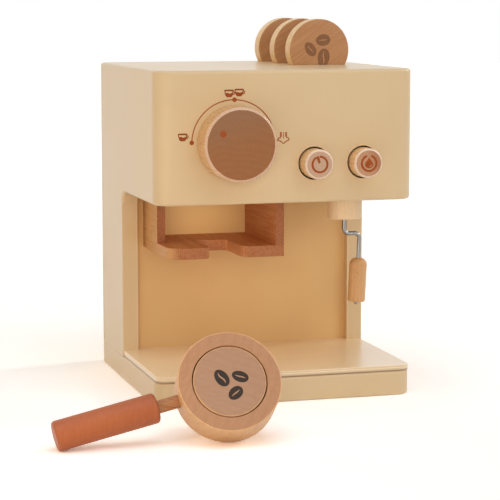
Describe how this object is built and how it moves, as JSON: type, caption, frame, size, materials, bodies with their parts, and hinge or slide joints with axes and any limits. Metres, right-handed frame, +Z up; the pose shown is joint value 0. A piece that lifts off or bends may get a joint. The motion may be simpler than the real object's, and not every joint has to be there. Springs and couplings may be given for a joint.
{
  "type": "toy coffee maker",
  "caption": "Wooden play espresso machine with a turning dial, sprung buttons, a swivelling steam wand, a holder bracket, bean coins in top slots and a loose filter holder.",
  "frame": {"origin": "centre of the machine's footprint, on the surface it stands on", "axes": "+X to the machine's right as seen from its front, -Y towards the user, +Z up"},
  "size_m": [0.298, 0.3402, 0.2845],
  "materials": {
    "cream_paint": "satin cream paint on wood",
    "plywood": "pale lacquered plywood",
    "pale_beech": "lacquered beech",
    "brown_beech": "red-brown stained beech",
    "stained_beech": "beech with stained faces",
    "terracotta_paint": "terracotta satin paint on wood",
    "chrome_rod": "polished plated steel rod",
    "zinc_steel": "zinc-plated",
    "spring_steel": "bright spring wire"
  },
  "bodies": {
    "housing": {"base_block": "cream_paint", "tray_plate": "plywood", "left_side_panel": "cream_paint", "right_side_panel": "cream_paint", "front_panel": "cream_paint", "top_panel": "cream_paint", "head_floor": "cream_paint", "cavity_back_panel": "cream_paint", "rear_panel": "cream_paint", "bracket_left_wall": "brown_beech", "bracket_right_wall": "brown_beech", "bracket_shelf": "brown_beech", "button_guide": "pale_beech", "wand_boss": "pale_beech", "base_screws": "zinc_steel", "bracket_screws": "zinc_steel", "power_spring": "spring_steel", "water_spring": "spring_steel"},
    "dial": {"dial_knob": "pale_beech", "dial_shaft": "pale_beech", "dial_collar": "pale_beech"},
    "power_button": {"power_button": "pale_beech"},
    "water_button": {"water_button": "pale_beech"},
    "wand": {"wand_rod": "chrome_rod", "wand_grip": "pale_beech", "wand_collar": "zinc_steel"},
    "coin_front": {"coin_front": "stained_beech"},
    "coin_middle": {"coin_middle": "stained_beech"},
    "coin_rear": {"coin_rear": "stained_beech"},
    "filter_holder": {"filter_basket": "pale_beech", "filter_spout": "pale_beech", "filter_neck": "pale_beech", "filter_handle": "terracotta_paint"},
    "filter_coin": {"filter_coin": "stained_beech"}
  },
  "joints": [
    {"name": "dial_turn", "type": "hinge", "parent": "housing", "child": "dial", "pos_m": [-0.0416, -0.1015, 0.1955], "axis": [0, -1, 0], "range_deg": [-149, 31]},
    {"name": "power_press", "type": "slide", "parent": "housing", "child": "power_button", "axis": [0, 1, 0], "range_m": [0, 0.008], "stiffness_N_per_m": 250, "springref_m": -0.004, "deforming": ["power_spring"]},
    {"name": "water_press", "type": "slide", "parent": "housing", "child": "water_button", "axis": [0, 1, 0], "range_m": [0, 0.008], "stiffness_N_per_m": 250, "springref_m": -0.004, "deforming": ["water_spring"]},
    {"name": "wand_swivel", "type": "hinge", "parent": "housing", "child": "wand", "pos_m": [0.0598, -0.0565, 0.14], "axis": [0, 0, 1], "continuous": true},
    {"name": "coin_front_lift", "type": "slide", "parent": "housing", "child": "coin_front", "axis": [0, 0, 1], "range_m": [0, 0.03]},
    {"name": "coin_middle_lift", "type": "slide", "parent": "housing", "child": "coin_middle", "axis": [0, 0, 1], "range_m": [0, 0.03]},
    {"name": "coin_rear_lift", "type": "slide", "parent": "housing", "child": "coin_rear", "axis": [0, 0, 1], "range_m": [0, 0.03]},
    {"name": "filter_lift", "type": "slide", "parent": "housing", "child": "filter_holder", "axis": [0, 0, 1], "range_m": [0, 0.12]},
    {"name": "filter_coin_pull", "type": "slide", "parent": "filter_holder", "child": "filter_coin", "axis": [-0.1121, -0.8515, 0.5122], "range_m": [0, 0.03]}
  ]
}
